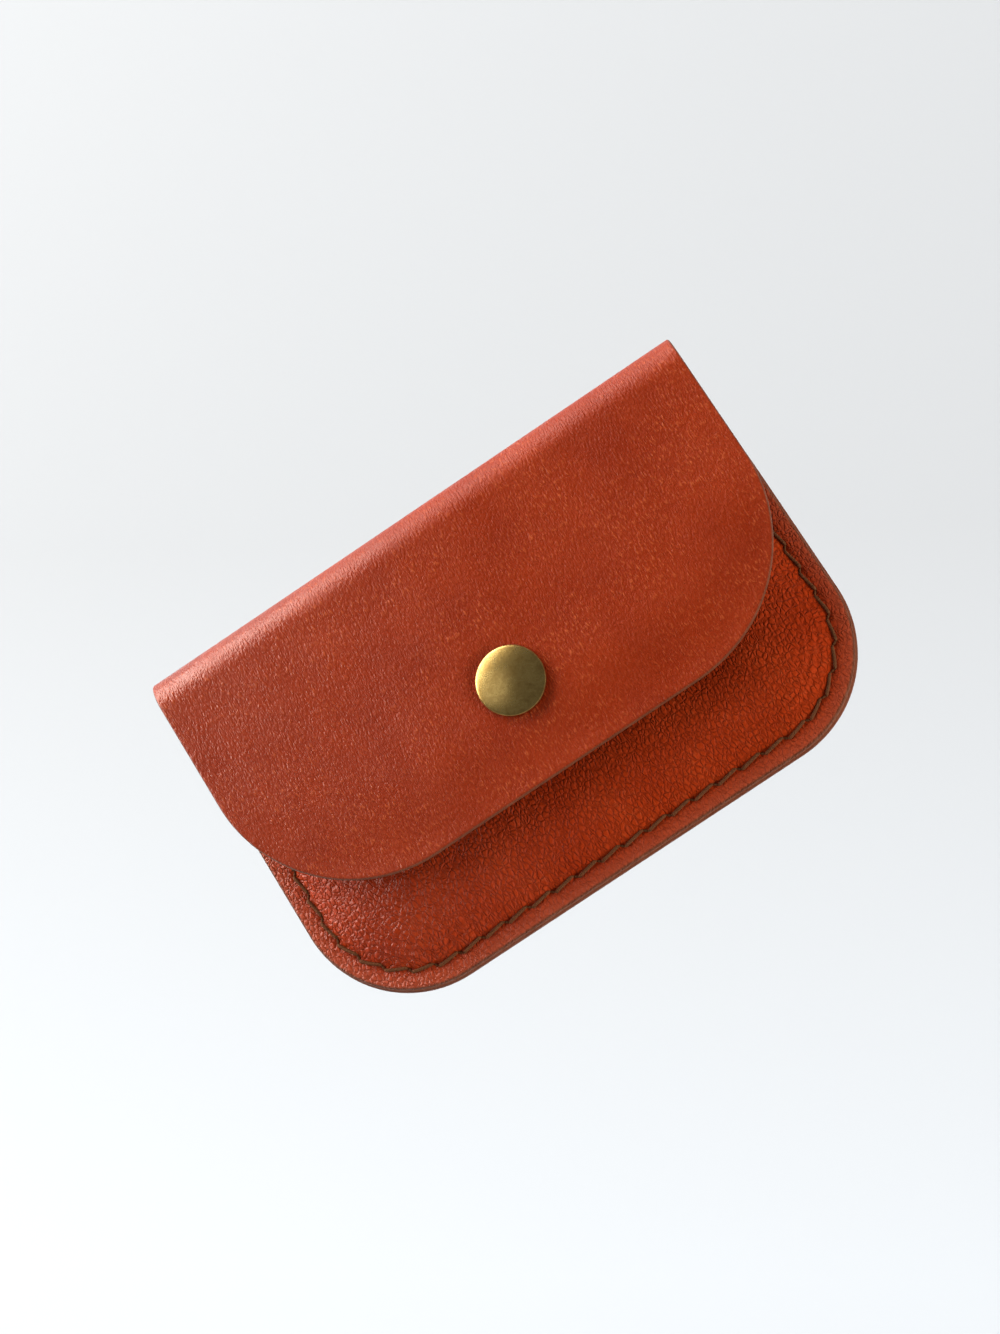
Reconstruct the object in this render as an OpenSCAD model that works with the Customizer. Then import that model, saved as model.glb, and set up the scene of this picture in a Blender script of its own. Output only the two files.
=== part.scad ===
// Business card case: a leather pocket under a fold-over flap, closed by a ring-spring snap.
// The case lies on its back: X runs across it, Y up to the fold, Z out through the flap.
// The origin is under the middle of the case, on the outside of its back.

/* [Case] */
// Overall width of the case
case_w = 105; // [95:0.5:126]
// Overall height, from the bottom edge to the outside of the fold
case_h = 70; // [66:0.5:84]
// Radius of the two bottom corners
corner_r = 20; // [16.5:0.5:24]
// Thickness of the leather
leather_t = 1.4; // [1:0.1:1.8]

/* [Pocket] */
// Height of the front pocket, from the bottom edge to its mouth
pocket_h = 56; // [46:0.5:58]
// Room for a stack of cards, from back to front
card_room = 4.2; // [3.5:0.1:6]
// Width of the flat border that carries the seam
border_w = 4.2; // [3.9:0.1:5.2]
// Run of the steep wall that rises from the border
wall_run = 2.4; // [1.6:0.1:3.2]
// Run of the gentle crown above the steep wall
crown_run = 9; // [6:0.5:9.5]
// Height that the crown adds in the middle of the pocket
crown_h = 0.8; // [0.6:0.1:1.4]

/* [Flap] */
// Reach of the flap, from the outside of the fold down to its lower edge
flap_drop = 52.5; // [46:0.5:58]
// Radius of the two lower corners of the flap
flap_corner_r = 27; // [20:0.5:34]
// Gap at each bend, between the leather on its two sides
bend_gap = 0.12; // [0.1:0.01:0.2]

/* [Seam] */
// Distance of the seam from the edge
seam_margin = 3.3; // [2.6:0.1:3.4]
// Length of one stitch
stitch_pitch = 4.5; // [3:0.1:6]
// Diameter of the waxed thread
thread_d = 0.6; // [0.4:0.05:0.8]

/* [Snap] */
// Distance of the snap's centre below the outside of the fold
snap_drop = 35.5; // [30:0.5:42]
// Distance that the closed snap holds the flap off the pocket
snap_gap = 3.6; // [3.2:0.1:4.6]
// Diameter of the domed cap
cap_d = 12; // [10:0.5:15]
// Height of the domed cap
cap_h = 1.7; // [1.4:0.1:2.4]
// Diameter of the socket
socket_d = 10; // [8.6:0.2:12]
// Diameter of the stud's bead, which the spring grips
bead_d = 5.5; // [5.2:0.1:6.6]
// Diameter of the barrels that pass through the leather
barrel_d = 3; // [2.4:0.1:3.2]
// Thickness of the pressed brass
metal_t = 0.4; // [0.3:0.05:0.5]

/* [Hidden] */
$fn = 64;

// Heights along Y
bottom_y = -case_h / 2;
top_y = case_h / 2;
pocket_top_y = bottom_y + pocket_h;
flap_low_y = top_y - flap_drop;
snap_y = top_y - snap_drop;

// Levels along Z, from the back to the front
border_z = 2 * leather_t;
shoulder_z = border_z + card_room;
pocket_face_z = shoulder_z + crown_h;
flap_back_z = pocket_face_z + snap_gap;
flap_face_z = flap_back_z + leather_t;

// The fold: half a turn of leather, measured from the back (0) over the top (90) to the front (180)
fold_r = flap_back_z / 2;
fold_z = fold_r + leather_t / 2;
fold_y = top_y - fold_z;
back_bend = 45;
front_bend = 135;
gap_turn = bend_gap / fold_r * 180 / PI;

// Insets of the pocket's shape from the edge of the case
shoulder_inset = border_w + wall_run;
crown_inset = shoulder_inset + crown_run;
wall_thinning = 0.8;
skin = 0.01;

// The seam runs down one side, round the bottom and up the other side
hole_d = thread_d + 0.2;
front_groove = 0.25;
back_groove = thread_d + 0.05;
seam_end = 3;
seam_r = corner_r - seam_margin;
seam_flat = case_w / 2 - corner_r;
seam_arc = seam_r * PI / 2;
seam_side = pocket_h - corner_r - seam_end;
seam_half = seam_flat + seam_arc + seam_side;
stitch_count = 2 * round(seam_half / stitch_pitch);
stitch_step = 2 * seam_half / stitch_count;
stitch_bow = stitch_step * stitch_step / (8 * seam_r);
groove_w = thread_d + 2 * stitch_bow + 0.2;
hole_thread_d = thread_d * 0.9;
stitch_split = thread_d / 6;
front_thread_z = border_z - front_groove + thread_d / 2;
back_thread_z = back_groove - thread_d / 2;

// The snap's fits
barrel_fit = 0.1;
snap_clearance = 0.2;
flare_w = 0.45;
stud_flange_d = bead_d + 3;
stud_flange_t = 0.6;
post_flange_d = bead_d + 2.5;
socket_bottom_z = pocket_face_z + stud_flange_t + snap_clearance;
socket_h = flap_back_z - socket_bottom_z;
cavity_d = bead_d + 2 * snap_clearance;
bead_t = 1;
bead_top_z = flap_back_z - 2 * metal_t - snap_clearance;
neck_d = bead_d - 0.8;
spring_d = 0.5;
spring_fit = 0.05;
spring_z = socket_bottom_z + metal_t + spring_d / 2;
spring_gap = 30;

leather_colour = [0.60, 0.23, 0.14];
thread_colour = [0.30, 0.20, 0.13];
brass_colour = [0.55, 0.45, 0.25];
steel_colour = [0.70, 0.70, 0.68];

// ---- Outlines and leather ----

// A panel's outline: square at the top, with two round corners at the bottom
module panel_outline(width, low, high, corner) {
    for (side = [-1, 1])
        translate([side * (width / 2 - corner), low + corner])
            intersection() {
                circle(corner);
                translate([min(side, 0) * corner, -corner])
                    square(corner);
            }
    translate([corner - width / 2, low])
        square([width - 2 * corner, corner]);
    translate([-width / 2, low + corner])
        square([width, high - low - corner]);
}

// The outline of the case, drawn in from its sides and its bottom edge
module case_outline(inset, high) {
    panel_outline(case_w - 2 * inset, bottom_y + inset, high, corner_r - inset);
}

// A stretch of the fold between two angles
module fold_arc(start, stop) {
    translate([0, fold_y, fold_z])
        rotate([0, 90, 0])
            rotate([0, 0, start])
                rotate_extrude(angle = stop - start)
                    translate([fold_r - leather_t / 2, -case_w / 2])
                        square([leather_t, case_w]);
}

// ---- The seam ----

// The point of the seam at a distance from the middle of the bottom, negative to the left
function seam_point(s) =
    let (side = sign(s), run = abs(s), turn = (run - seam_flat) / seam_arc * 90)
    run < seam_flat ? [s, bottom_y + seam_margin]
    : run < seam_flat + seam_arc
        ? [side * (seam_flat + seam_r * sin(turn)), bottom_y + corner_r - seam_r * cos(turn)]
        : [side * (seam_flat + seam_r), bottom_y + corner_r + run - seam_flat - seam_arc];

function hole_place(i) = seam_point(i * stitch_step - seam_half);

// A straight column at every hole of the seam
module at_holes(diameter, low, high) {
    for (i = [0:stitch_count])
        translate([hole_place(i)[0], hole_place(i)[1], low])
            cylinder(d = diameter, h = high - low, $fn = 24);
}

// The shallow groove that the thread lies in
module seam_groove(low, high) {
    translate([0, 0, low])
        linear_extrude(high - low)
            difference() {
                case_outline(seam_margin - groove_w / 2, pocket_top_y - seam_end + groove_w);
                case_outline(seam_margin + groove_w / 2, pocket_top_y);
            }
}

// One row of stitches, each lying straight between the threads in two holes
module stitch_row(level) {
    for (i = [0:stitch_count - 1]) {
        start = hole_place(i);
        run = hole_place(i + 1) - start;
        translate([start[0], start[1], level])
            rotate([0, 90, atan2(run[1], run[0])])
                translate([0, 0, stitch_split])
                    cylinder(d = thread_d, h = norm(run) - 2 * stitch_split, $fn = 24);
    }
}

// ---- Leather pieces ----

// A flat panel lying on the back's level, with the fold's leather up to the first bend
module folded_panel(low, corner) {
    linear_extrude(leather_t)
        panel_outline(case_w, low, fold_y, corner);
    fold_arc(0, back_bend - gap_turn);
}

// Back of the case, with the first part of the fold
module back_panel() color(leather_colour)
    difference() {
        folded_panel(bottom_y, corner_r);
        at_holes(hole_d, -skin, leather_t + skin);
        seam_groove(-skin, back_groove);
    }

// The top of the fold, between the two bends. It turns about the outer edge of its cut at each of them.
module top_fold() color(leather_colour)
    fold_arc(back_bend, front_bend);

// The flap, with the last part of the fold
module flap_panel() color(leather_colour)
    difference() {
        translate([0, 0, flap_face_z])
            mirror([0, 0, 1])
                folded_panel(flap_low_y, flap_corner_r);
        at_snap(flap_back_z - skin)
            cylinder(d = barrel_d + barrel_fit, h = leather_t + 2 * skin);
    }

// The crowned shape of the pocket, from its base up
module crowned(base_z, thinning) {
    hull() {
        crowned_slice(base_z, border_w + thinning);
        crowned_slice(base_z + card_room, shoulder_inset + thinning);
        crowned_slice(base_z + card_room + crown_h, crown_inset + thinning);
    }
}

// One level of the crowned shape, just under its height
module crowned_slice(level, inset) {
    translate([0, 0, level - skin])
        linear_extrude(skin)
            case_outline(inset, pocket_top_y, $fn = 32);
}

// Front pocket: a flat border round a crowned front, open at the top
module front_pocket() color(leather_colour)
    difference() {
        union() {
            translate([0, 0, leather_t])
                linear_extrude(leather_t)
                    case_outline(0, pocket_top_y);
            crowned(border_z, 0);
        }
        translate([0, skin, 0])
            crowned(leather_t, wall_thinning);
        at_holes(hole_d, leather_t - skin, border_z + skin);
        seam_groove(border_z - front_groove, border_z + skin);
        at_snap(pocket_face_z - leather_t - skin)
            cylinder(d = barrel_d + barrel_fit, h = leather_t + 2 * skin);
    }

// The thread of the saddle-stitched seam: a row on each face, joined through the holes
module seam_thread() color(thread_colour) {
    stitch_row(front_thread_z);
    stitch_row(back_thread_z);
    at_holes(hole_thread_d, back_thread_z - thread_d / 4, front_thread_z + thread_d / 4);
}

// ---- The snap ----

// Places a piece on the snap's centre line
module at_snap(level) {
    translate([0, snap_y, level])
        children();
}

// A low dome on a short straight skirt
module domed(diameter, skirt, rise) {
    dome_r = (diameter * diameter / 4 + rise * rise) / (2 * rise);
    intersection() {
        cylinder(d = diameter, h = skirt + rise);
        translate([0, 0, skirt + rise - dome_r])
            sphere(dome_r, $fn = 96);
    }
}

// A tube with an open bore
module tube(outer, inner, height) {
    difference() {
        cylinder(d = outer, h = height);
        translate([0, 0, -skin])
            cylinder(d = inner, h = height + 2 * skin);
    }
}

// Domed cap on the outside of the flap
module snap_cap() color(brass_colour)
    at_snap(flap_face_z)
        difference() {
            domed(cap_d, metal_t, cap_h - metal_t);
            translate([0, 0, -skin])
                domed(cap_d - 2 * metal_t, metal_t, cap_h - 2 * metal_t);
        }

// Flanged barrel under the cap, flared over inside the socket
module cap_post() color(brass_colour) {
    at_snap(flap_face_z)
        cylinder(d = cap_d - 2 * metal_t - barrel_fit, h = metal_t);
    at_snap(flap_back_z - 2 * metal_t)
        tube(barrel_d, barrel_d - 2 * metal_t, leather_t + 2 * metal_t + skin);
    at_snap(flap_back_z - 2 * metal_t)
        tube(barrel_d + 2 * flare_w, barrel_d - 2 * metal_t, metal_t);
}

// Socket behind the flap, with a groove for its spring
module snap_socket() color(brass_colour)
    at_snap(socket_bottom_z)
        difference() {
            union() {
                cylinder(d1 = socket_d - 2 * metal_t, d2 = socket_d, h = metal_t);
                translate([0, 0, metal_t])
                    cylinder(d = socket_d, h = socket_h - metal_t);
            }
            translate([0, 0, -skin])
                cylinder(d = cavity_d, h = socket_h - metal_t + skin);
            cylinder(d = barrel_d + barrel_fit, h = socket_h + skin);
            translate([0, 0, metal_t - spring_fit])
                cylinder(d = cavity_d + 2 * spring_d + 2 * spring_fit, h = spring_d + 2 * spring_fit);
        }

// Split ring of wire that grips the stud
module socket_spring() color(steel_colour)
    at_snap(spring_z)
        rotate([0, 0, spring_gap / 2 - 90])
            rotate_extrude(angle = 360 - spring_gap)
                translate([(cavity_d + spring_d) / 2, 0])
                    circle(d = spring_d, $fn = 24);

// Stud on the pocket: a flange, a neck and the bead on top
module snap_stud() color(brass_colour)
    at_snap(pocket_face_z)
        difference() {
            union() {
                cylinder(d = stud_flange_d, h = stud_flange_t);
                cylinder(d = neck_d, h = bead_top_z - pocket_face_z - bead_t / 2);
                translate([0, 0, bead_top_z - pocket_face_z - bead_t]) {
                    cylinder(d = bead_d - bead_t, h = bead_t);
                    translate([0, 0, bead_t / 2])
                        rotate_extrude()
                            translate([(bead_d - bead_t) / 2, 0])
                                circle(d = bead_t);
                }
            }
            translate([0, 0, stud_flange_t])
                cylinder(d = neck_d - 2 * metal_t,
                    h = bead_top_z - pocket_face_z - stud_flange_t - metal_t);
            translate([0, 0, -skin])
                cylinder(d = barrel_d + barrel_fit, h = stud_flange_t + 2 * skin);
        }

// Flanged barrel inside the pocket, flared over inside the stud
module stud_post() color(brass_colour) {
    at_snap(pocket_face_z - leather_t - metal_t)
        tube(post_flange_d, barrel_d - 2 * metal_t, metal_t);
    at_snap(pocket_face_z - leather_t - metal_t)
        tube(barrel_d, barrel_d - 2 * metal_t, leather_t + stud_flange_t + 2 * metal_t);
    at_snap(pocket_face_z + stud_flange_t)
        tube(barrel_d + flare_w, barrel_d - 2 * metal_t, metal_t);
}

back_panel();
top_fold();
flap_panel();
front_pocket();
seam_thread();
snap_cap();
cap_post();
snap_socket();
socket_spring();
snap_stud();
stud_post();
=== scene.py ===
import math

import bmesh
import bpy
import numpy as np
from mathutils import Matrix, Vector


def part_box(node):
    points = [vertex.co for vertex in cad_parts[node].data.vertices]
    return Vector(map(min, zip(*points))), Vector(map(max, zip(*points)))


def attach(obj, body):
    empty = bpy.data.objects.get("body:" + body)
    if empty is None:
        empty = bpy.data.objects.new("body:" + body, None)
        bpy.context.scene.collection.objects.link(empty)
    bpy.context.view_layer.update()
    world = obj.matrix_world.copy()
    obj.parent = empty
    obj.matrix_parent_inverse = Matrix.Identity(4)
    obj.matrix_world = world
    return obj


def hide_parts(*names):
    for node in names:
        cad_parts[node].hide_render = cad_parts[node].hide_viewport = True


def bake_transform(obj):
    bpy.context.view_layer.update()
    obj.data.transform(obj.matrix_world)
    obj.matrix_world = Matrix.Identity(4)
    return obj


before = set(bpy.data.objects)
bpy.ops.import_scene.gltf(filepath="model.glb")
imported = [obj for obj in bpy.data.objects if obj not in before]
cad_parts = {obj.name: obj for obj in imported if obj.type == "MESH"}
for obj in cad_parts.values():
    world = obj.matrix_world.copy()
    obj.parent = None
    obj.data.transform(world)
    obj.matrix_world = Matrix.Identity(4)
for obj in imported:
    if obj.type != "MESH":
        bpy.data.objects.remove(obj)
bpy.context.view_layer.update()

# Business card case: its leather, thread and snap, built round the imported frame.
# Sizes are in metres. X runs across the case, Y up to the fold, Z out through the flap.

MM = 0.001

# ---- Sizes read from the frame ----

back_low, back_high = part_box("back_panel")
_, fold_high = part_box("top_fold")
flap_low, flap_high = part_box("flap_panel")
pocket_low, pocket_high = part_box("front_pocket")
cap_low, cap_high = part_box("snap_cap")

CASE_W = back_high.x - back_low.x
BOTTOM_Y = back_low.y
TOP_Y = fold_high.y
LEATHER_T = pocket_low.z - back_low.z
BORDER_Z = 2 * LEATHER_T
POCKET_TOP_Y = pocket_high.y
POCKET_FACE_Z = pocket_high.z
FLAP_LOW_Y = flap_low.y
FLAP_FACE_Z = flap_high.z
FOLD_R = (FLAP_FACE_Z - LEATHER_T) / 2
FOLD_Z = FLAP_FACE_Z / 2
FOLD_Y = TOP_Y - FOLD_Z
HIDE_TOP = FOLD_Y + FOLD_R * math.pi / 2
SNAP_Y = (cap_low.y + cap_high.y) / 2
CAP_D = cap_high.x - cap_low.x
CAP_H = cap_high.z - cap_low.z

# ---- Sizes of the cut and the seam ----

CORNER_R = 20 * MM
FLAP_CORNER_R = 27 * MM
EDGE_ROUND = 0.8 * MM
FLAP_EDGE_ROUND = 0.5 * MM
MOUTH_ROUND = 0.5 * MM
BACK_PROUD = 0.3 * MM
SEAM_MARGIN = 3.3 * MM
STITCH_PITCH = 4.5 * MM
THREAD_D = 0.6 * MM
SEAM_END = 3 * MM
SEAM_R = CORNER_R - SEAM_MARGIN
SEAM_FLAT = CASE_W / 2 - CORNER_R
SEAM_ARC = SEAM_R * math.pi / 2
SEAM_SIDE = POCKET_TOP_Y - BOTTOM_Y - CORNER_R - SEAM_END
SEAM_HALF = SEAM_FLAT + SEAM_ARC + SEAM_SIDE
STITCHES = 2 * round(SEAM_HALF / STITCH_PITCH)
STITCH_STEP = 2 * SEAM_HALF / STITCHES


# ---- Meshes from grids ----

def ease(t):
    """0 up to t = 0, 1 from t = 1, and 3t^2 - 2t^3 between them."""
    t = np.clip(t, 0, 1)
    return t * t * (3 - 2 * t)


def bump_at(t, width):
    """A bell of height 1 and the given width round t = 0: exp(-(t / width)^2)."""
    return np.exp(-(t / width) ** 2)


def soft_noise(u, v, seed):
    """Smooth random hills from -1 to 1: random heights at whole u and v, eased between them."""
    cells = 128
    heights = np.random.default_rng(seed).uniform(-1, 1, (cells, cells))
    i, j = np.floor(u).astype(int), np.floor(v).astype(int)
    a, b = ease(u - i), ease(v - j)
    left, right = i % cells, (i + 1) % cells
    below, above = j % cells, (j + 1) % cells
    low = heights[left, below] * (1 - a) + heights[right, below] * a
    high = heights[left, above] * (1 - a) + heights[right, above] * a
    return low * (1 - b) + high * b


def grid_faces(rows, columns, first):
    """The corner numbers of each square of a grid of points, counted from first."""
    corner = first + np.arange(rows * columns).reshape(rows, columns)
    squares = [corner[:-1, :-1], corner[1:, :-1], corner[1:, 1:], corner[:-1, 1:]]
    return np.stack(squares, axis=-1).reshape(-1, 4)


def mesh_object(name, grids, marks=None):
    """One mesh from grids of points, joined where they meet, with the marks as point attributes."""
    faces, first = [], 0
    for grid in grids:
        faces.append(grid_faces(grid.shape[0], grid.shape[1], first))
        first += grid.shape[0] * grid.shape[1]
    faces = np.concatenate(faces)
    points = np.concatenate([grid.reshape(-1, 3) for grid in grids])
    mesh = bpy.data.meshes.new(name)
    mesh.vertices.add(len(points))
    mesh.vertices.foreach_set("co", points.astype(np.float32).ravel())
    mesh.loops.add(faces.size)
    mesh.loops.foreach_set("vertex_index", faces.ravel().astype(np.int32))
    mesh.polygons.add(len(faces))
    mesh.polygons.foreach_set("loop_start", np.arange(0, faces.size, 4, dtype=np.int32))
    mesh.update(calc_edges=True)
    for mark, values in (marks or {}).items():
        kind, key = ("FLOAT_VECTOR", "vector") if values.ndim == 2 else ("FLOAT", "value")
        attribute = mesh.attributes.new(mark, kind, "POINT")
        attribute.data.foreach_set(key, values.astype(np.float32).ravel())
    close_up(mesh)
    piece = bpy.data.objects.new(name, mesh)
    bpy.context.scene.collection.objects.link(piece)
    return piece


def close_up(mesh):
    """Merges the points where grids meet, drops squares that have shrunk to nothing, turns faces outwards,
    and shades smoothly except over edges sharper than sharp_from."""
    merge_gap, least_edge = 0.0005 * MM, 0.0001 * MM
    sharp_from = math.radians(60)
    work = bmesh.new()
    work.from_mesh(mesh)
    bmesh.ops.remove_doubles(work, verts=work.verts, dist=merge_gap)
    bmesh.ops.dissolve_degenerate(work, edges=work.edges, dist=least_edge)
    bmesh.ops.recalc_face_normals(work, faces=work.faces)
    work.to_mesh(mesh)
    work.free()
    mesh.shade_smooth()
    mesh.set_sharp_from_angle(angle=sharp_from)


# ---- A leather panel, laid flat ----

def rim_columns(width, low, high, corner, step):
    """The rim down the left side, round the bottom and up the right side, as points and inward directions,
    and the number of the column halfway round the first corner. Each point is a core line's point less
    corner times its direction, which turns only at the core's two corners."""
    half = width / 2 - corner
    sides = round((high - low - corner) / step)
    turns = 2 * round(corner * math.pi / 4 / step)
    flats = 2 * round(half / step)
    up, across = np.linspace(0, 1, sides, endpoint=False), np.linspace(-half, half, flats + 1)
    core_x = np.concatenate([np.full(sides + turns, -half), across, np.full(turns + sides, half)])
    level = low + corner
    climb = (high - level) * (1 - up)
    core_y = level + np.concatenate([climb, np.zeros(2 * turns + flats + 1), climb[::-1]])
    turn = np.linspace(0, math.pi / 2, turns, endpoint=False)
    angle = np.concatenate([np.zeros(sides), turn, np.full(flats + 1, math.pi / 2)])
    angle = np.concatenate([angle, (math.pi - turn)[::-1], np.full(sides, math.pi)])
    inward = np.stack([np.cos(angle), np.sin(angle)], axis=-1)
    core = np.stack([core_x, core_y], axis=-1)
    return core - corner * inward, inward, sides + turns // 2


def edge_profile(insets, steps=12):
    """Insets and heights of a panel's cross-section: out along the face, round the burnished edge and back
    in along the other side. The edge is a superellipse of power 2.6 as deep as the first inset, and
    heights run from 1 on the outside to -1 on the inside."""
    power = 2 / 2.6
    turn = np.linspace(0, math.pi, steps + 1)[1:-1]
    round_inset = insets[0] * (1 - np.sin(turn) ** power)
    round_height = np.sign(np.cos(turn)) * np.abs(np.cos(turn)) ** power
    round_height[len(turn) // 2] = 0
    inset = np.concatenate([insets[::-1], round_inset, insets])
    height = np.concatenate([np.ones(len(insets)), round_height, -np.ones(len(insets))])
    return inset, height


def filled_patch(ring, corner_column, top_line):
    """A Coons patch inside a ring: its left and right parts blended across, its lower part and the top line
    blended up, less the four corners that both hold."""
    last = len(ring) - 1
    left = ring[: corner_column + 1][::-1]
    right = ring[last - corner_column:]
    bottom = ring[corner_column: last - corner_column + 1]
    u = np.linspace(0, 1, len(bottom))[None, :, None]
    v = np.linspace(0, 1, len(left))[:, None, None]
    sides = (1 - u) * left[:, None] + u * right[:, None]
    ends = (1 - v) * bottom[None] + v * top_line[None]
    low_corners = (1 - u) * bottom[0] + u * bottom[-1]
    top_corners = (1 - u) * top_line[0] + u * top_line[-1]
    return sides + ends - ((1 - v) * low_corners + v * top_corners)


def panel_grids(width, low, high, corner, step, insets, mouth_steps=1, mouth_round=0.0):
    """A whole panel as grids of (x, y, height): the rim band, a patch on each side, and the strip across
    its top. Height is 1 on the outside and -1 on the inside. The top strip is half a turn of radius
    mouth_round, or a flat cut."""
    rim, inward, corner_column = rim_columns(width, low, high, corner, step)
    inset, height = edge_profile(insets)
    band = rim[None] + inset[:, None, None] * inward[None]
    band = np.concatenate([band, np.broadcast_to(height[:, None, None], band.shape[:2] + (1,))], axis=-1)
    ring = rim + insets[-1] * inward
    across = len(ring) - 2 * corner_column
    top_line = np.stack([np.linspace(ring[0, 0], ring[-1, 0], across), np.full(across, high)], axis=-1)
    patch = filled_patch(ring, corner_column, top_line)
    faces = [np.concatenate([patch, np.full(patch.shape[:2] + (1,), side)], axis=-1) for side in (1.0, -1.0)]
    middle = len(inset) // 2
    left_x = -width / 2 + inset[: middle + 1][::-1]
    left_h = height[: middle + 1][::-1]
    line_x = np.concatenate([left_x, top_line[1:-1, 0], -left_x[::-1]])
    line_h = np.concatenate([left_h, np.ones(across - 2), left_h[::-1]])
    turn = np.linspace(0, math.pi, mouth_steps + 1)[:, None]
    strip_y = high + mouth_round * np.sin(turn) * np.abs(line_h)[None]
    strip = [np.broadcast_to(line_x, strip_y.shape), strip_y, line_h[None] * np.cos(turn)]
    return [band, *faces, np.stack(strip, axis=-1)]


def panel_marks(grids, inset_of):
    """What the finish needs to know of each point: where it lies on the flat hide, how many millimetres it
    is in from the rim, how far it is on the cut edge, and how far on the flesh side."""
    face_from, edge_fade, flesh_fade = 0.8, 0.18, 0.2
    flat = np.concatenate([grid.reshape(-1, 3) for grid in grids])
    height = flat[:, 2]
    return {
        "hide": flat * [1, 1, LEATHER_T / 2],
        "inset": inset_of(flat[:, 0], flat[:, 1]) / MM,
        "cut_edge": 1 - ease((np.abs(height) - face_from) / edge_fade),
        "flesh": ease((-height - face_from) / flesh_fade),
    }


def rounded_inset(x, y, low, corner):
    """Distance in from the rim: from the nearer side, or from the corner's arc inside its square."""
    beside = CASE_W / 2 - np.abs(x)
    above = y - low
    from_arc = corner - np.hypot(corner - beside, corner - above)
    in_corner = (beside < corner) & (above < corner)
    return np.where(in_corner, from_arc, np.minimum(beside, above))


def case_inset(x, y):
    """Distance in from the rim of the back and the pocket."""
    return rounded_inset(x, y, BOTTOM_Y, CORNER_R)


def flap_inset(x, y):
    """Distance in from the flap's rim."""
    return rounded_inset(x, y, FLAP_LOW_Y, FLAP_CORNER_R)


# ---- The seam's line ----

def seam_place(run):
    """Place and direction on the seam at a distance from the middle of the bottom, negative to the left:
    straight, then a quarter turn, then straight up the side."""
    side, reach = np.sign(run), np.abs(run)
    turn = np.clip((reach - SEAM_FLAT) / SEAM_ARC, 0, 1) * math.pi / 2
    x = side * (np.minimum(reach, SEAM_FLAT) + SEAM_R * np.sin(turn))
    climb = np.maximum(reach - SEAM_FLAT - SEAM_ARC, 0)
    y = BOTTOM_Y + CORNER_R - SEAM_R * np.cos(turn) + climb
    return x, y, np.cos(turn), side * np.sin(turn)


def seam_run(x, y):
    """The distance along the seam of the points beside it: seam_place turned round."""
    least = 1e-6
    side = np.sign(x)
    beyond = np.abs(x) - SEAM_FLAT
    above = y - BOTTOM_Y - CORNER_R
    turn = np.arctan2(np.maximum(beyond, 0), np.maximum(-above, least))
    reach = np.minimum(np.abs(x), SEAM_FLAT) + SEAM_R * turn + np.maximum(above, 0)
    return side * np.where(beyond > 0, reach, np.abs(x))


def seam_relief(x, y):
    """What the pulled thread does to the leather: a valley along the seam that is deepest at the holes, a
    low shoulder on each side of it, and a pit at each hole. Depths are in millimetres."""
    valley_depth, valley_width = 0.22, 0.55 * MM
    shoulder_rise, shoulder_width = 0.07, 0.6 * MM
    pit_depth, pit_width = 0.35, 0.3 * MM
    from_seam = case_inset(x, y) - SEAM_MARGIN
    run = seam_run(x, y)
    along = np.cos(2 * math.pi * (run + SEAM_HALF) / STITCH_STEP)
    on_seam = 1 - ease((np.abs(run) - SEAM_HALF) / (0.8 * MM))
    valley = valley_depth * bump_at(from_seam, valley_width) * (0.6 + 0.4 * along)
    inner = bump_at(from_seam - 1.1 * MM, shoulder_width)
    outer = bump_at(from_seam + 1.0 * MM, shoulder_width)
    shoulders = shoulder_rise * (inner + outer) * (0.7 - 0.3 * along)
    pit = pit_depth * bump_at(from_seam, pit_width) * ease((along - 0.8) / 0.2)
    return (shoulders - valley - pit) * on_seam * MM


# ---- Leather pieces ----

def folded_place(x, s, out):
    """Where a point of the flat hide lies on the back and round the fold. Below the fold's start y is s;
    above it the leather turns about the fold's centre by the angle (s - FOLD_Y) / FOLD_R. out is the
    height towards the outside of the case from the middle of the leather."""
    angle = np.maximum(s - FOLD_Y, 0) / FOLD_R
    y = np.minimum(s, FOLD_Y) + (FOLD_R + out) * np.sin(angle)
    z = FOLD_Z - (FOLD_R + out) * np.cos(angle)
    return np.stack([x, y, z], axis=-1)


def back_relief(x, y):
    """The back's outside: the seam's valley, shallower than on the front, and a faint unevenness of the
    hide."""
    seam_share = 0.8
    uneven_depth, uneven_size = 0.05 * MM, 9 * MM
    uneven = uneven_depth * soft_noise(x / uneven_size, y / uneven_size, 11)
    return seam_relief(x, y) * seam_share + uneven * ease(case_inset(x, y) / (4 * MM))


def build_leather_back():
    """Back of the case with the first quarter of the fold, up to the cut at the top of the roll. Its edge
    stands a little proud of the pocket's, by BACK_PROUD, round the sewn part."""
    insets = ring_insets(deepest=13 * MM, fine=0.28 * MM, coarse=0.75 * MM)
    grids = panel_grids(CASE_W, BOTTOM_Y, HIDE_TOP, CORNER_R, step=0.56 * MM, insets=insets)
    placed = []
    for grid in grids:
        x, s, height = grid[..., 0], grid[..., 1], grid[..., 2]
        relief = back_relief(x, s) * (height > 0) * ease((FOLD_Y - s) / (6 * MM))
        out = height * LEATHER_T / 2 + relief
        proud = BACK_PROUD * ease((POCKET_TOP_Y - s) / (10 * MM))
        down = proud * ease((CORNER_R + BOTTOM_Y - s) / CORNER_R)
        placed.append(folded_place(x * (1 + 2 * proud / CASE_W), s - down, out))
    return mesh_object("leather_back", placed, panel_marks(grids, case_inset))


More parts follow.
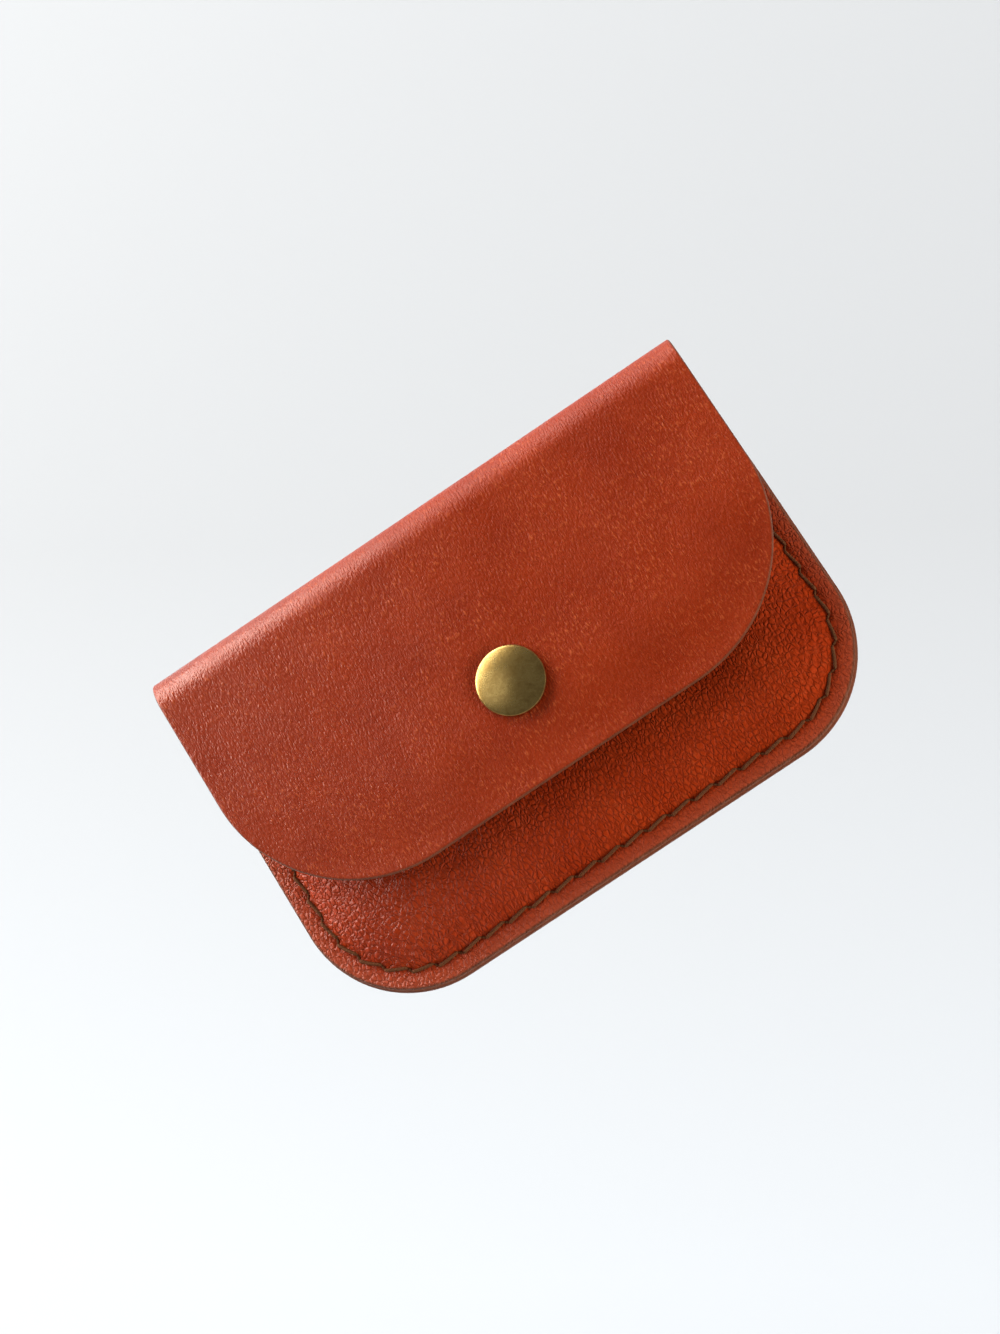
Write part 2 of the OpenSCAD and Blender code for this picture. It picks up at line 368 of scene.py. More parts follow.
def ring_insets(deepest, fine, coarse):
    """Insets of the rings on a face: fine across the seam and its ripples, coarser further in."""
    seam_from, seam_to, ripples_to = 2.3 * MM, 4.6 * MM, 8.5 * MM
    ripple = 1.4 * fine
    near = np.arange(EDGE_ROUND, seam_from, 2 * fine)
    seam = np.arange(near[-1] + fine, seam_to, fine)
    ripples = np.arange(seam[-1] + ripple, ripples_to, ripple)
    inner = np.linspace(ripples[-1], deepest, round((deepest - ripples[-1]) / coarse) + 1)[1:]
    return np.concatenate([near, seam, ripples, inner])


def flap_shape(x, s):
    """How far the flap's leather stands out from flat: it dips round the cap, sags towards its free edge,
    has a few soft rolls running down from the fold, and wanders a little. Depths are in millimetres."""
    dip_depth, ring_depth, sag_depth = 0.28, 0.10, 1.0
    roll_depth, wander_depth = 0.10, 0.12
    from_snap = np.hypot(x, s - SNAP_Y)
    inset = flap_inset(x, s)
    dip = -dip_depth * bump_at(from_snap, 9 * MM) - ring_depth * bump_at(from_snap - 6.4 * MM, 1.2 * MM)
    sag = -sag_depth * (1 - ease(inset / (16 * MM))) * ease((SNAP_Y + 8 * MM - s) / (22 * MM))
    drift = 0.3 * soft_noise(s / (12 * MM), x / (30 * MM), 5)
    rolls = roll_depth * soft_noise(x / (7 * MM) + drift, s / (30 * MM), 3)
    below_fold = ease((FOLD_Y + 4 * MM - s) / (8 * MM))
    wander = wander_depth * soft_noise(x / (16 * MM), s / (20 * MM), 8)
    return (dip + sag + rolls * below_fold + wander * ease(inset / (5 * MM))) * MM


def flap_creases(x, s):
    """Fine creases on the flap's face, long down the flap and short across it."""
    depth, width, length = 0.035 * MM, 0.9 * MM, 5 * MM
    drift = 1.2 * soft_noise(x / (6 * MM), s / (9 * MM), 21)
    lines = soft_noise(x / width + drift, s / length, 22)
    patches = ease(0.5 + 0.9 * soft_noise(x / (14 * MM), s / (11 * MM), 23))
    return -depth * ease((np.abs(lines) - 0.35) / 0.5) * patches


def build_leather_flap():
    """The flap with the last quarter of the fold. It is the back's shape turned over, at its own length."""
    deepest, rings = 20 * MM, 37
    insets = np.linspace(FLAP_EDGE_ROUND, deepest, rings)
    grids = panel_grids(CASE_W, FLAP_LOW_Y, HIDE_TOP, FLAP_CORNER_R, step=0.5 * MM, insets=insets)
    placed = []
    for grid in grids:
        x, s, height = grid[..., 0], grid[..., 1], grid[..., 2]
        flat_part = ease((FOLD_Y + 3 * MM - s) / (8 * MM))
        out = height * LEATHER_T / 2 + flap_shape(x, s) * flat_part
        out = out + flap_creases(x, s) * ease(height) * flat_part
        place = folded_place(x, s, out)
        place[..., 2] = FLAP_FACE_Z - place[..., 2]
        placed.append(place)
    marks = panel_marks(grids, flap_inset)
    hide = marks["hide"]
    hide[:, 1] = 2 * HIDE_TOP - hide[:, 1]
    return mesh_object("leather_flap", placed, marks)


def pocket_pillow(inset):
    """Height of the pocket's face over its border: H (1 - (1 - q)^fullness), where q runs from 0 beside the
    seam to 1 on the crown, with its start rounded."""
    start, run, soften, fullness = 3.6 * MM, 15.5 * MM, 0.04, 2.5
    q = np.clip((inset - start) / run, -1, 1)
    q = (np.sqrt(q * q + soften * soften) + q) / 2
    q = np.minimum(q / ((math.sqrt(1 + soften * soften) + 1) / 2), 1)
    return (POCKET_FACE_Z - BORDER_Z) * (1 - (1 - q) ** fullness)


def corner_ripples(x, y, inset, wander):
    """Ripples just inside the seam that follow it round the corners, in millimetres."""
    rise, pitch = 0.10, 1.25 * MM
    beside_seam = ease((inset - 4.3 * MM) / (1.0 * MM)) * (1 - ease((inset - 7.5 * MM) / (3.5 * MM)))
    beyond = np.abs(x) - SEAM_FLAT
    in_corner = ease((beyond + 14 * MM) / (12 * MM)) * ease((BOTTOM_Y + CORNER_R + 12 * MM - y) / (14 * MM))
    return rise * np.sin(2 * math.pi * (inset / pitch + 0.45 * wander)) * beside_seam * in_corner


def stitch_pleats(run, inset, wander):
    """Short pleats that run in from the stitches, in patches, in millimetres."""
    rise, pitch = 0.11, 0.42 * STITCH_STEP
    pleats = np.cos(2 * math.pi * (run / pitch + 0.8 * wander)) * bump_at(inset - 5.2 * MM, 1.9 * MM)
    return rise * pleats * ease(0.55 + 0.8 * soft_noise(run / (6 * MM), inset / (9 * MM), 35))


def broken_wrinkles(x, y, run, inset, wander):
    """Fine broken wrinkles along the seam, in patches and weaker towards the middle, in millimetres."""
    rise, width, length = 0.13, 0.85 * MM, 1.6 * MM
    broken = soft_noise(inset / width + 0.8 * wander, run / length, 32)
    patches = ease(0.35 + 0.9 * soft_noise(x / (12 * MM), y / (10 * MM), 33))
    inside_seam = ease((inset - 4.4 * MM) / (2 * MM))
    return rise * broken * patches * inside_seam * (1 - 0.6 * ease((inset - 10 * MM) / (8 * MM)))


def soft_hills(x, y, inset):
    """Soft hills of the pocket's crown that leave the snap's seat flat, in millimetres."""
    rise, size = 0.16, 8 * MM
    round_snap = ease((np.hypot(x, y - SNAP_Y) - 5 * MM) / (3 * MM))
    return rise * soft_noise(x / size, y / size, 34) * ease((inset - 6 * MM) / (6 * MM)) * round_snap


def pocket_wrinkles(x, y):
    """All the wrinkles of the stretched pocket."""
    inset = case_inset(x, y)
    run = seam_run(x, y)
    wander = soft_noise(x / (5 * MM), y / (5 * MM), 31)
    ripples = corner_ripples(x, y, inset, wander)
    pleats = stitch_pleats(run, inset, wander)
    broken = broken_wrinkles(x, y, run, inset, wander)
    return (ripples + pleats + broken + soft_hills(x, y, inset)) * MM


def pocket_place(x, y, height):
    """Where a point of the pocket lies. Its face is BORDER_Z plus the pillow, and the leather's thickness
    is laid off along the face's own normal, from differences of the pillow over a short step."""
    step = 0.05 * MM
    pillow = pocket_pillow(case_inset(x, y))
    slope_x = (pocket_pillow(case_inset(x + step, y)) - pocket_pillow(case_inset(x - step, y))) / (2 * step)
    slope_y = (pocket_pillow(case_inset(x, y + step)) - pocket_pillow(case_inset(x, y - step))) / (2 * step)
    normal = np.stack([-slope_x, -slope_y, np.ones_like(x)], axis=-1)
    normal /= np.linalg.norm(normal, axis=-1, keepdims=True)
    face = np.stack([x, y, BORDER_Z + pillow], axis=-1)
    relief = (seam_relief(x, y) + pocket_wrinkles(x, y)) * ease(height)
    return face + normal * (relief - (1 - height) * LEATHER_T / 2)[..., None]


def build_pocket():
    """The front pocket: a flat border under the seam, a wall that rises from it and a crowned front."""
    insets = ring_insets(deepest=14.5 * MM, fine=0.2 * MM, coarse=0.5 * MM)
    top = POCKET_TOP_Y - MOUTH_ROUND
    grids = panel_grids(CASE_W, BOTTOM_Y, top, CORNER_R, step=0.5 * MM, insets=insets,
                        mouth_steps=8, mouth_round=MOUTH_ROUND)
    placed = [pocket_place(grid[..., 0], grid[..., 1], grid[..., 2]) for grid in grids]
    marks = panel_marks(grids, case_inset)
    flat = np.concatenate([grid.reshape(-1, 3) for grid in grids])
    at_mouth = ease((flat[:, 1] - POCKET_TOP_Y + 0.8 * MOUTH_ROUND) / (0.2 * MM))
    marks["cut_edge"] = np.maximum(marks["cut_edge"], at_mouth)
    return mesh_object("leather_pocket", placed, marks)


# ---- The thread ----

def stitch_grid(number, face_z, outward, slant):
    """One stitch: a tube whose line rises out of one hole, crosses and dips into the next. Its radius is r
    (0.84 + 0.2 |cos 1.5 (turn - twist)|), three plies that twist along it, and it closes to a point in
    each hole."""
    rows, columns = 31, 19
    reach, lean, twists = 0.46, 0.42 * MM, 2.4
    lift, swell, sink = 0.10 * MM, 0.10 * MM, 0.75 * MM
    along = np.linspace(0, 1, rows)
    spread = np.linspace(-1, 1, rows)
    run = -SEAM_HALF + STITCH_STEP * (number + 0.5 + reach * spread)
    x, y, dx, dy = seam_place(run)
    offset = slant * lean * spread
    x, y = x - dy * offset, y + dx * offset
    arch = np.clip(np.sin(math.pi * along) / 0.42, 0, 1)
    rise = face_z + outward * (lift + swell * arch - sink * (1 - arch) ** 1.6)
    line = np.stack([x, y, rise], axis=-1)
    ahead = np.gradient(line, axis=0)
    ahead /= np.linalg.norm(ahead, axis=1, keepdims=True)
    across = np.cross(ahead, [0, 0, 1])
    across /= np.linalg.norm(across, axis=1, keepdims=True)
    above = np.cross(across, ahead)
    turn = np.linspace(0, 2 * math.pi, columns)
    twist = 2 * math.pi * twists * along[:, None]
    ends = np.minimum(1, 12 * np.minimum(along, 1 - along))[:, None]
    radius = THREAD_D / 2 * (0.84 + 0.2 * np.abs(np.cos(1.5 * (turn[None] - twist)))) * ends
    ring = across[:, None] * np.cos(turn)[None, :, None] + above[:, None] * np.sin(turn)[None, :, None]
    tube = line[:, None] + ring * radius[..., None]
    tube[:, -1] = tube[:, 0]
    return tube


def crossing_grid(number, face_z, outward, slant):
    """The strand that drops into a hole from one stitch and rises into the next: a short slanting capsule,
    low in its slit. Its radius is thick times the square root of 1 - u^2, with u from -1 to 1 along it."""
    rows, columns = 13, 13
    reach, lean, thick = 0.46 * MM, 0.36 * MM, 0.20 * MM
    sink, bow = 0.10 * MM, 0.12 * MM
    spread = np.linspace(-1, 1, rows)
    x, y, dx, dy = seam_place(np.array(-SEAM_HALF + STITCH_STEP * number))
    forward = reach * spread
    inward = -slant * lean * spread
    depth = face_z - outward * (sink + bow * spread ** 2)
    line = np.stack([x + dx * forward - dy * inward, y + dy * forward + dx * inward, depth], axis=-1)
    turn = np.linspace(0, 2 * math.pi, columns)
    across = np.cross(line[-1] - line[0], [0, 0, 1])
    across /= np.linalg.norm(across)
    radius = thick * np.sqrt(np.maximum(1 - spread ** 2, 0))
    ring = across * np.cos(turn)[:, None] + np.array([0, 0, outward]) * np.sin(turn)[:, None]
    tube = line[:, None] + ring[None] * radius[:, None, None]
    tube[:, -1] = tube[:, 0]
    return tube


def strand_marks(grids, step):
    """Coordinates of the strands for their fibres: length along, turn round, and a place of its own for
    each strand, strand_gap apart."""
    strand_gap = 3.7
    rows, columns = grids[0].shape[:2]
    along = np.tile(np.repeat(np.linspace(0, step / MM, rows), columns), len(grids))
    turn = np.tile(np.tile(np.linspace(0, 1, columns), rows), len(grids))
    which = np.repeat(np.arange(len(grids)), rows * columns)
    return np.stack([along, turn, which * strand_gap], axis=-1)


def build_stitches(name, face_z, outward, slant):
    """A whole row of stitches, and the strand that crosses in each hole between them."""
    stitches = [stitch_grid(number, face_z, outward, slant) for number in range(STITCHES)]
    crossings = [crossing_grid(number, face_z, outward, slant) for number in range(STITCHES + 1)]
    marks = np.concatenate([strand_marks(stitches, STITCH_STEP), strand_marks(crossings, MM)])
    return mesh_object(name, stitches + crossings, {"strand": marks})


# ---- The snap ----

def spun(name, profile, centre_z=0.0):
    """A shape of revolution round the snap's axis, from a closed profile of (radius, height) pairs."""
    columns = 97
    profile = np.array([*profile, profile[0]])
    turn = np.linspace(0, 2 * math.pi, columns)
    radius, height = profile[:, 0][:, None], profile[:, 1][:, None]
    level = (centre_z + height) * np.ones_like(turn)[None]
    grid = np.stack([radius * np.cos(turn), SNAP_Y + radius * np.sin(turn), level], axis=-1)
    grid[:, -1] = grid[:, 0]
    return mesh_object(name, [grid])


def build_cap():
    """The domed cap: a shallow dome that turns over a small radius into a skirt, hollow underneath."""
    rim_r, wall, skirt = 0.55 * MM, 0.4 * MM, 0.15 * MM
    base_inset, hollow = 0.35 * MM, 0.35
    dome_rows, rim_rows, tuck = 24, 10, 0.5
    top_r = CAP_D / 2 - rim_r
    rise = CAP_H - rim_r - skirt
    dome_r = (top_r ** 2 + rise ** 2) / (2 * rise)
    reach = np.linspace(0, math.asin(top_r / dome_r), dome_rows)
    dome = [(dome_r * math.sin(a), CAP_H - dome_r * (1 - math.cos(a))) for a in reach]
    lean = reach[-1]
    turned = np.linspace(lean, math.pi / 2 + tuck, rim_rows)[1:]
    centre = (dome[-1][0] - rim_r * math.sin(lean), dome[-1][1] - rim_r * math.cos(lean))
    over = [(centre[0] + rim_r * math.sin(a), centre[1] + rim_r * math.cos(a)) for a in turned]
    base = CAP_D / 2 - base_inset
    scale = (CAP_D / 2) / max(r for r, _ in over)
    outside = [(r * scale, z) for r, z in dome + over]
    inside = [(base, 0.0), (base - wall, 0.0), (base - wall, CAP_H * hollow), (0.0, CAP_H - wall)]
    return spun("cap_dome", outside + inside, cap_low.z)


# ---- Colours: a pair is mixed by a pattern, from its first to its second ----

DYE_TONES = (0.280, 0.021, 0.0015, 1), (0.360, 0.033, 0.0040, 1)
# Light grain lines: partly the grain's own colour, partly painted glints.
GRAIN_LINE_AND_GLINT_TONE = (0.50, 0.085, 0.022, 1)
# Painted shadow for the creases between pebbles.
PEBBLE_GAP_SHADOW_TONE = (0.115, 0.009, 0.001, 1)
# Paler rim: partly rubbed wear, partly a painted sheen.
RIM_WEAR_AND_SHEEN_TONE = (0.46, 0.085, 0.036, 1)
FLESH_TONES = (0.34, 0.16, 0.085, 1), (0.46, 0.24, 0.14, 1)
CUT_EDGE_TONES = (0.105, 0.024, 0.009, 1), (0.22, 0.068, 0.030, 1)
LEATHER_GLINT = (1.0, 0.72, 0.62, 1)
THREAD_TONES_AND_HIGHLIGHT = (0.038, 0.012, 0.004, 1), (0.27, 0.095, 0.036, 1)
CAP_TONES = (0.34, 0.205, 0.052, 1), (0.58, 0.390, 0.120, 1)
BRASS_TONES = (0.24, 0.155, 0.050, 1), (0.40, 0.28, 0.10, 1)
STEEL_TONES = (0.42, 0.42, 0.41, 1), (0.62, 0.62, 0.60, 1)
FLOOR_FALLOFF_TONES = (0.66, 0.69, 0.72, 1), (0.52, 0.535, 0.55, 1)


# ---- Finishes ----

def new_finish(name):
    """A material with an empty node tree but for its shader, and the two helpers that fill it."""
    material = bpy.data.materials.new(name)
    material.use_nodes = True
    tree = material.node_tree
    shader = tree.nodes["Principled BSDF"]

    def add(kind, settings=None, **sockets):
        """A node with its settings, whose inputs are values or other nodes' outputs."""
        node = tree.nodes.new("ShaderNode" + kind)
        for key, value in (settings or {}).items():
            setattr(node, key, value)
        for key, value in sockets.items():
            fill(node, key.replace("_", " "), value)
        return node

    def fill(node, key, value):
        """Sets or joins one input, found by its name or by its number."""
        key = int(key[1:]) if key[0] == "i" and key[1:].isdigit() else key
        socket = node.inputs[key]
        if isinstance(value, bpy.types.NodeSocket):
            tree.links.new(value, socket)
        else:
            socket.default_value = value

    return material, shader, add, fill


def stretched(add, place, x, y, z):
    """Coordinates multiplied along each axis."""
    return add("VectorMath", {"operation": "MULTIPLY"}, i0=place, i1=(x, y, z)).outputs[0]


def noise(add, place, scale, detail=3.0, rough=0.55, warp=0.0):
    """A noise pattern's value."""
    node = add("TexNoise", Vector=place, Scale=scale, Detail=detail, Roughness=rough, Distortion=warp)
    return node.outputs[0]


def mixed(add, share, first, second, mode="MIX"):
    """Two colours mixed by a share."""
    node = add("Mix", {"data_type": "RGBA", "blend_type": mode}, i0=share, i6=first, i7=second)
    return node.outputs[2]


def ranged(add, value, low, high, to_low=0.0, to_high=1.0):
    """A value carried from one range to another and held inside it."""
    node = add("MapRange", None, Value=value)
    for number, level in enumerate((low, high, to_low, to_high), 1):
        node.inputs[number].default_value = level
    return node.outputs[0]


def maths(add, operation, first, second):
    """Two values joined by one operation."""
    return add("Math", {"operation": operation}, i0=first, i1=second).outputs[0]


def dyed_grain(add, hide, lines, painted_brightness):
    """The dye's tone and the fine grain. The dye is uneven and multiplied by a factor of painted light, with
    light lines down the hide, stronger in patches, that are partly grain and partly painted glints, and
    small dark pores."""
    dye = noise(add, hide, 70.0, 4.0, 0.6)
    tone = mixed(add, ranged(add, dye, 0.3, 0.7), *DYE_TONES)
    # Painted light: a brightness factor on the same leather, darker on the back and flap, lighter on the
    # pocket.
    tone = mixed(add, 1.0, tone, (painted_brightness, painted_brightness, painted_brightness, 1), "MULTIPLY")
    fine = noise(add, stretched(add, hide, 1.0, 0.30, 1.0), 3000.0, 2.0, 0.60)
    patches = ranged(add, noise(add, hide, 75.0, 2.0), 0.38, 0.62, 0.25, 1.0)
    # The light lines are partly the grain's own colour and partly painted glints.
    grain_lines_and_glints = maths(add, "MULTIPLY", ranged(add, fine, 0.54, 0.70), patches)
    tone = mixed(add, maths(add, "MULTIPLY", grain_lines_and_glints, lines), tone, GRAIN_LINE_AND_GLINT_TONE)
    pores = ranged(add, noise(add, hide, 4200.0, 2.0), 0.32, 0.50, 0.72, 1.0)
    pore_tone = add("CombineColor", None, Red=pores, Green=pores, Blue=pores).outputs[0]
    return mixed(add, 0.7, tone, pore_tone, "MULTIPLY"), fine


def pebble_height(add, hide):
    """Height of the pebbles, 0 in the gaps and 1 on top: bent cells, a little longer down the hide."""
    place = stretched(add, hide, 1.0, 0.7, 1.0)
    bent = add("TexNoise", Vector=hide, Scale=500.0).outputs[1]
    place = add("MixRGB", None, Fac=0.0012, Color1=place, Color2=bent).outputs[0]
    cells = add("TexVoronoi", {"feature": "DISTANCE_TO_EDGE"}, Vector=place, Scale=1350.0)
    return ranged(add, cells.outputs[0], 0.0, 0.25)


def hide_gloss(add, hide, edge, flesh, pebble):
    """Roughness and specular level. The left end is the glossiest, and the cut edge and flesh side are
    dull."""
    left_end, shine_end, level_end = -0.045, 0.0, 0.005
    matt, polish = 0.12 * pebble, 0.13
    across = add("SeparateXYZ", Vector=hide).outputs["X"]
    handled = ranged(add, across, left_end, shine_end, matt - polish, matt)
    rough = ranged(add, noise(add, hide, 160.0, 3.0), 0.3, 0.7, 0.36, 0.48)
    rough = maths(add, "ADD", rough, handled)
    rough = maths(add, "MAXIMUM", rough, maths(add, "MULTIPLY", flesh, 0.95))
    rough = maths(add, "MAXIMUM", rough, maths(add, "MULTIPLY", edge, 0.60))
    strong = 1 - 0.45 * pebble
    return rough, ranged(add, across, left_end, level_end, 0.70 * strong, 0.22 * strong)


def leather_finish(name, pebble, lines, painted_brightness):
    """Chestnut full-grain leather: dyed grain and pebbles whose gaps are darkened as painted shadow, paler
    along the rim partly from rubbing and partly as a painted sheen, with a dark brown cut edge and a pale
    flesh side. It reads the hide's own flat coordinates. pebble and lines say how strong the two grains are,
    and the light lines are partly painted glints. The brightness factor is painted light: it makes the same
    leather a little darker on the back and flap and lighter on the pocket."""
    material, shader, add, fill = new_finish(name)
    hide = add("Attribute", {"attribute_name": "hide"}).outputs["Vector"]
    edge = add("Attribute", {"attribute_name": "cut_edge"}).outputs["Fac"]
    flesh = add("Attribute", {"attribute_name": "flesh"}).outputs["Fac"]
    inset = add("Attribute", {"attribute_name": "inset"}).outputs["Fac"]

    tone, fine = dyed_grain(add, hide, lines, painted_brightness)
    pebbles = pebble_height(add, hide)
    # The gaps between the pebbles are darkened: painted shadow in the creases.
    gaps = maths(add, "MULTIPLY", maths(add, "SUBTRACT", 1.0, pebbles), 0.32 * pebble)
    tone = mixed(add, gaps, tone, PEBBLE_GAP_SHADOW_TONE)
    # Paler along the rim: partly rubbed wear, partly a painted sheen where the border catches the light.
    rubbed = ranged(add, inset, 0.4, 3.2, 0.6 * pebble, 0.0)
    tone = mixed(add, rubbed, tone, RIM_WEAR_AND_SHEEN_TONE)
    tone = mixed(add, flesh, tone, mixed(add, noise(add, hide, 900.0, 4.0), *FLESH_TONES))
    tone = mixed(add, edge, tone, mixed(add, noise(add, hide, 500.0, 3.0), *CUT_EDGE_TONES))
    fill(shader, "Base Color", tone)

    rough, level = hide_gloss(add, hide, edge, flesh, pebble)
    fill(shader, "Roughness", rough)
    fill(shader, "Specular IOR Level", level)
    shader.inputs["Specular Tint"].default_value = LEATHER_GLINT

    height = maths(add, "ADD", maths(add, "MULTIPLY", pebbles, pebble), maths(add, "MULTIPLY", fine, 0.9))
    relief = (0.26 - 0.09 * pebble) * MM
    fill(shader, "Normal", add("Bump", None, Height=height, Strength=1.0, Distance=relief).outputs[0])
    return material


def thread_finish():
    """Waxed dark brown thread: fibres that wind round the plies, with their own varying tone and a painted
    highlight where they stand up.
    """
    material, shader, add, fill = new_finish("waxed_thread")
    strand = add("Attribute", {"attribute_name": "strand"}).outputs["Vector"]
    fibres = noise(add, stretched(add, strand, 2.2, 9.0, 1.0), 3.0, 3.0, 0.6)
    # The raised fibres are painted paler: the fibres' own tone plus a painted highlight.
    fill(shader, "Base Color", mixed(add, ranged(add, fibres, 0.35, 0.7), *THREAD_TONES_AND_HIGHLIGHT))
    shader.inputs["Roughness"].default_value = 0.6
    shader.inputs["Specular IOR Level"].default_value = 0.1
    fill(shader, "Normal", add("Bump", None, Height=fibres, Strength=0.5, Distance=0.05 * MM).outputs[0])
    return material


def brass_finish(name, dark, bright, polish):
    """Antique brass: mottled olive brown, brighter where it is rubbed, with fine specks under a thin coat.
    polish is the roughness of its smoothest parts."""
    material, shader, add, fill = new_finish(name)
    place = add("TexCoord").outputs["Object"]
    clouds = noise(add, place, 420.0, 5.0, 0.65, 0.6)
    specks = noise(add, place, 2600.0, 3.0, 0.6)
    age = maths(add, "ADD", maths(add, "MULTIPLY", clouds, 0.7), maths(add, "MULTIPLY", specks, 0.3))
    fill(shader, "Base Color", mixed(add, ranged(add, age, 0.38, 0.62), dark, bright))
    shader.inputs["Metallic"].default_value = 1.0
    shader.inputs["Coat Weight"].default_value = 0.3
    shader.inputs["Coat Roughness"].default_value = 0.2
    fill(shader, "Roughness", ranged(add, age, 0.35, 0.65, polish + 0.10, polish))
    fill(shader, "Normal", add("Bump", None, Height=specks, Strength=0.06, Distance=0.05 * MM).outputs[0])
    return material


def spring_finish():
    """Drawn steel wire, with fine marks."""
    material, shader, add, fill = new_finish("spring_steel")
    place = add("TexCoord").outputs["Object"]
    marks = noise(add, place, 3000.0, 3.0)
    fill(shader, "Base Color", mixed(add, marks, *STEEL_TONES))
    shader.inputs["Metallic"].default_value = 1.0
    fill(shader, "Roughness", ranged(add, marks, 0.3, 0.7, 0.25, 0.38))
    return material


def floor_finish():
    """A plain pale floor, painted a little darker towards the far side: painted shading."""
    material, shader, add, fill = new_finish("pale_floor")
    place = add("TexCoord").outputs["Object"]
    towards_far_side = (0.54, 0.84, 0.0)
    across = add("VectorMath", {"operation": "DOT_PRODUCT"}, i0=place, i1=towards_far_side).outputs["Value"]
    # Painted shading: the floor's colour darkens towards the far side.
    fill(shader, "Base Color", mixed(add, ranged(add, across, -0.11, 0.14), *FLOOR_FALLOFF_TONES))
    shader.inputs["Roughness"].default_value = 0.9
    shader.inputs["Specular IOR Level"].default_value = 0.1
    return material


def wear(piece, material):
    """Gives a piece its one finish."""
    piece.data.materials.clear()
    piece.data.materials.append(material)


# ---- Putting the case together ----


def assemble_leather():
    """The three leather pieces. The hide turns smoothly round the fold, a quarter turn on the back and a
    quarter turn on the flap."""
    # The two copies differ in grain and in painted light: the back and flap are painted a little darker, the
    # pocket lighter.
    plain = leather_finish("chestnut_leather", pebble=0.10, lines=0.95, painted_brightness=0.92)
    grained = leather_finish("chestnut_leather_grained", pebble=1.0, lines=0.5, painted_brightness=1.25)
    back = build_leather_back()
    wear(back, plain)
    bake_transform(back)
    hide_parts("back_panel", "top_fold")
    flap = build_leather_flap()
    wear(flap, plain)
    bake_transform(flap)
    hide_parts("flap_panel", "top_fold")
    pocket = build_pocket()
    wear(pocket, grained)
    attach(pocket, "case")
    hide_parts("front_pocket")


def assemble_thread():
    """Both rows of the saddle stitch, slanting opposite ways on the two faces."""
    finish = thread_finish()
    for name, level, outward, slant in (("stitches_front", BORDER_Z, 1, 1), ("stitches_back", 0.0, -1, -1)):
        row = build_stitches(name, level, outward, slant)
        wear(row, finish)
        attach(row, "case")
        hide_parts("seam_thread")


def assemble_snap():
    """The cap's dome, and the finishes of the snap's other pieces."""
    cap_brass = brass_finish("antique_brass_cap", *CAP_TONES, polish=0.24)
    plain_brass = brass_finish("antique_brass", *BRASS_TONES, polish=0.30)
    cap = build_cap()
    wear(cap, cap_brass)
    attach(cap, "flap")
    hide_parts("snap_cap")
    for node in ("cap_post", "snap_socket", "snap_stud", "stud_post"):
        wear(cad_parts[node], plain_brass)
    wear(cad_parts["socket_spring"], spring_finish())


# ---- Studio ----

def build_floor():
    """A pale floor well below the case, so that it can be seen from every side with its flap open."""
    drop, reach = 0.5, 1.4
    corners = np.array([[[-reach, -reach, -drop], [reach, -reach, -drop]],
                        [[-reach, reach, -drop], [reach, reach, -drop]]])
    floor = mesh_object("floor", [corners])
    wear(floor, floor_finish())


def softbox(name, towards, distance, width, height, power, colour=(1, 1, 1)):
    """A rectangular soft light in a direction from the case, turned to face it."""
    light = bpy.data.lights.new(name, "AREA")
    light.shape = "RECTANGLE"
    light.size, light.size_y = width, height
    light.energy = power
    light.color = colour
    lamp = bpy.data.objects.new(name, light)
    direction = Vector(towards).normalized()
    lamp.location = direction * distance
    lamp.rotation_mode = "QUATERNION"
    lamp.rotation_quaternion = direction.to_track_quat("Z", "Y")
    bpy.context.scene.collection.objects.link(lamp)
    return lamp


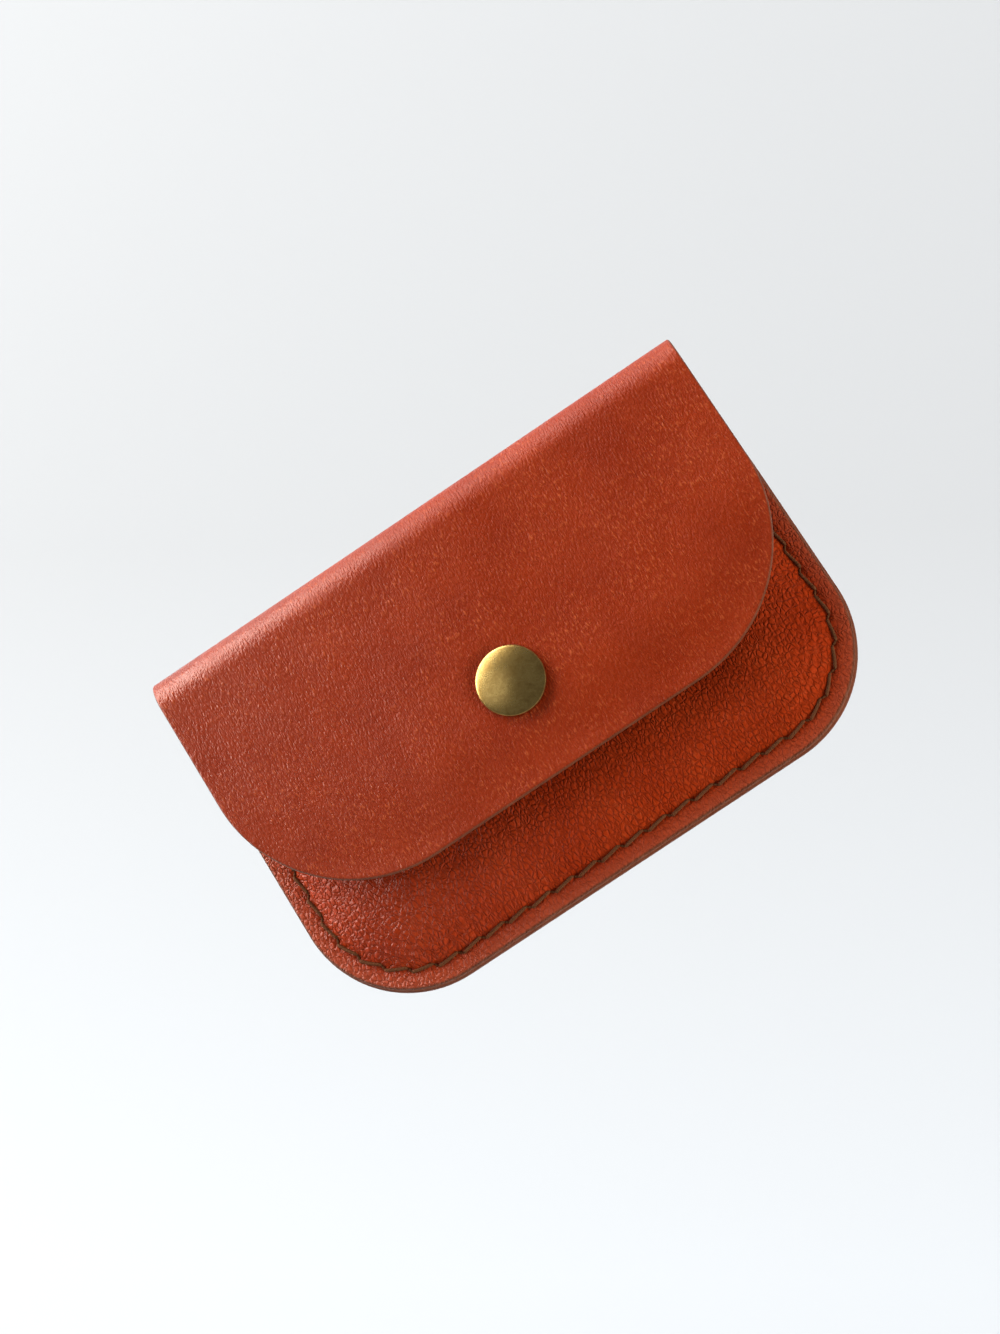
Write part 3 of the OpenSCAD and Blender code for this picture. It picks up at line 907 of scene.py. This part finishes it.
def build_lights():
    """A window-like key from beyond the fold, a faint panel over the left end, a fill from the lower right
    that leaves no reflection, and a pale tent that is brightest at the horizon and below it."""
    softbox("key_window", towards=(-0.44, 0.86, 0.28), distance=2.0, width=3.2, height=1.45, power=126.0,
            colour=(1.0, 0.985, 0.96))
    softbox("left_panel", towards=(-0.42, 0.30, 0.85), distance=2.0, width=1.3, height=1.2, power=3.0)
    side_fill = softbox("side_fill", towards=(0.62, -0.55, 0.26), distance=2.0, width=2.0, height=1.6,
                        power=46.0)
    side_fill.visible_glossy = False
    world = bpy.data.worlds.new("studio")
    world.use_nodes = True
    nodes, links = world.node_tree.nodes, world.node_tree.links
    direction = nodes.new("ShaderNodeSeparateXYZ")
    links.new(nodes.new("ShaderNodeTexCoord").outputs["Generated"], direction.inputs[0])
    tent = nodes.new("ShaderNodeMapRange")
    rise_from, rise_to, foot_strength, top_strength = 0.02, 0.28, 0.80, 0.17
    for number, level in enumerate((rise_from, rise_to, foot_strength, top_strength), 1):
        tent.inputs[number].default_value = level
    links.new(direction.outputs["Z"], tent.inputs[0])
    nodes["Background"].inputs["Color"].default_value = (0.95, 0.97, 1.0, 1)
    links.new(tent.outputs[0], nodes["Background"].inputs["Strength"])
    bpy.context.scene.world = world
    bpy.context.scene.view_settings.view_transform = "Standard"


def build_camera():
    """A long lens over the case. The camera's direction is an azimuth and an elevation, with a roll about
    it."""
    azimuth, elevation, roll = math.radians(18.2), math.radians(74.1), math.radians(-51.3)
    distance = 0.4986
    target = Vector((-0.9 * MM, 4.2 * MM, FOLD_Z))
    level = math.cos(elevation)
    back = Vector((math.sin(azimuth) * level, -math.cos(azimuth) * level, math.sin(elevation)))
    up = (Vector((0, 0, 1)) - back * back.z).normalized()
    up.rotate(Matrix.Rotation(roll, 3, back))
    data = bpy.data.cameras.new("camera")
    data.sensor_width = 36.0
    data.lens = 80.96
    data.clip_start, data.clip_end = 0.01, 100.0
    camera = bpy.data.objects.new("camera", data)
    turned = Matrix((up.cross(back), up, back)).transposed().to_4x4()
    camera.matrix_world = Matrix.Translation(target + back * distance) @ turned
    bpy.context.scene.collection.objects.link(camera)
    bpy.context.scene.camera = camera


assemble_leather()
assemble_thread()
assemble_snap()
build_floor()
build_lights()
build_camera()
